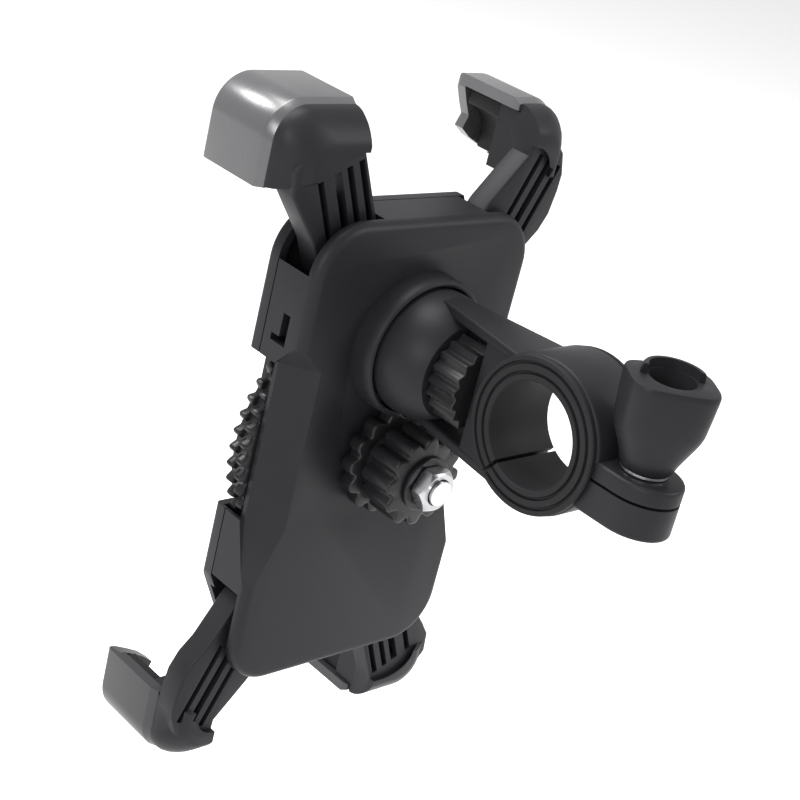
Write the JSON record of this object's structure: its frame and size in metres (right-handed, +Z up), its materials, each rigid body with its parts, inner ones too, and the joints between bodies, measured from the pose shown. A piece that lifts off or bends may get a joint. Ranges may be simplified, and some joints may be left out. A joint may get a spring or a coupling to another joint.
{
  "type": "phone handlebar mount",
  "caption": "Four-claw phone holder with a rack-and-pinion adjusting wheel and lock knob, on a ball joint and a split handlebar clamp.",
  "frame": {"origin": "centre of the handlebar clamp ring, on the handlebar's axis", "axes": "+Z is up along a phone standing upright in the claws, -Y is the side its screen faces, X is the handlebar's axis"},
  "size_m": [0.084, 0.1075, 0.157],
  "materials": {
    "black_plastic": "fine moulded texture, satin",
    "grey_plastic": "satin graphite grey",
    "rubber": "matt",
    "steel": "zinc plated",
    "chrome": "polished",
    "brass": "plain",
    "nylon": "natural nylon"
  },
  "bodies": {
    "clamp": {"clamp_body": "black_plastic", "bar_sleeve": "rubber", "clamp_bolt": "steel", "clamp_washer": "steel", "socket_ring": "black_plastic"},
    "thumb_nut": {"clamp_knob": "black_plastic", "clamp_knob_insert": "brass"},
    "ball_lock": {"ball_lock_wheel": "black_plastic"},
    "plunger": {"pressure_plunger": "steel"},
    "tilt_ring": {"ball_seat_outer": "nylon"},
    "pan_ring": {"ball_seat_inner": "nylon"},
    "case": {"rear_cover": "black_plastic", "front_plate": "black_plastic", "phone_pad": "rubber", "cover_screw_1": "steel", "cover_screw_2": "steel", "cover_screw_3": "steel", "cover_screw_4": "steel", "main_bolt": "steel", "ball_stud": "steel", "ball_stud_screw": "steel"},
    "wheel": {"adjusting_wheel": "black_plastic", "pinion": "nylon"},
    "knob": {"lock_knob": "black_plastic", "knob_washer": "rubber", "knob_nut": "chrome"},
    "claw_upper_right": {"arm_upper_right": "black_plastic", "claw_cap_upper_right": "grey_plastic", "claw_pad_upper_right": "rubber"},
    "claw_lower_left": {"arm_lower_left": "black_plastic", "claw_cap_lower_left": "grey_plastic", "claw_pad_lower_left": "rubber"},
    "claw_lower_right": {"arm_lower_right": "black_plastic", "claw_cap_lower_right": "grey_plastic", "claw_pad_lower_right": "rubber"},
    "claw_upper_left": {"arm_upper_left": "black_plastic", "claw_cap_upper_left": "grey_plastic", "claw_pad_upper_left": "rubber"}
  },
  "joints": [
    {"name": "thumb_nut_turn", "type": "hinge", "parent": "clamp", "child": "thumb_nut", "pos_m": [0, 0.022, 0.0125], "axis": [0, 0, 1], "continuous": true},
    {"name": "ball_lock_turn", "type": "hinge", "parent": "clamp", "child": "ball_lock", "pos_m": [0, -0.0246, -0.001], "axis": [0, 1, 0], "range_deg": [0, 360.1]},
    {"name": "plunger_slide", "type": "slide", "parent": "clamp", "child": "plunger", "axis": [0, 1, 0], "range_m": [0, 0.001]},
    {"name": "ball_tilt", "type": "hinge", "parent": "clamp", "child": "tilt_ring", "pos_m": [0, -0.0385, -0.001], "axis": [1, 0, 0], "range_deg": [-11, 11]},
    {"name": "ball_pan", "type": "hinge", "parent": "tilt_ring", "child": "pan_ring", "pos_m": [0, -0.0385, -0.001], "axis": [0, 0, 1], "range_deg": [-11, 11]},
    {"name": "ball_spin", "type": "hinge", "parent": "pan_ring", "child": "case", "pos_m": [0, -0.0385, -0.001], "axis": [0, 1, 0], "range_deg": [-90, 90]},
    {"name": "wheel_turn", "type": "hinge", "parent": "case", "child": "wheel", "pos_m": [0, -0.0562, -0.0287], "axis": [0, 1, 0], "range_deg": [-43, 114.7]},
    {"name": "knob_turn", "type": "hinge", "parent": "case", "child": "knob", "pos_m": [0, -0.0385, -0.0287], "axis": [0, 1, 0], "range_deg": [0, 360]},
    {"name": "slide_upper_right", "type": "slide", "parent": "case", "child": "claw_upper_right", "axis": [0.454, 0, 0.891], "range_m": [-0.0045, 0.012]},
    {"name": "slide_lower_left", "type": "slide", "parent": "case", "child": "claw_lower_left", "axis": [-0.454, 0, -0.891], "range_m": [-0.0045, 0.012]},
    {"name": "slide_lower_right", "type": "slide", "parent": "case", "child": "claw_lower_right", "axis": [0.454, 0, -0.891], "range_m": [-0.0045, 0.012]},
    {"name": "slide_upper_left", "type": "slide", "parent": "case", "child": "claw_upper_left", "axis": [-0.454, 0, 0.891], "range_m": [-0.0045, 0.012]}
  ],
  "couplings": [
    {"joint": "ball_lock_turn", "follows": "plunger_slide", "rad_per_m": 6283.1},
    {"joint": "wheel_turn", "follows": "slide_upper_right", "rad_per_m": 166.67},
    {"joint": "slide_lower_left", "follows": "slide_upper_right", "ratio": 1},
    {"joint": "slide_lower_right", "follows": "slide_upper_right", "ratio": 1},
    {"joint": "slide_upper_left", "follows": "slide_upper_right", "ratio": 1}
  ]
}
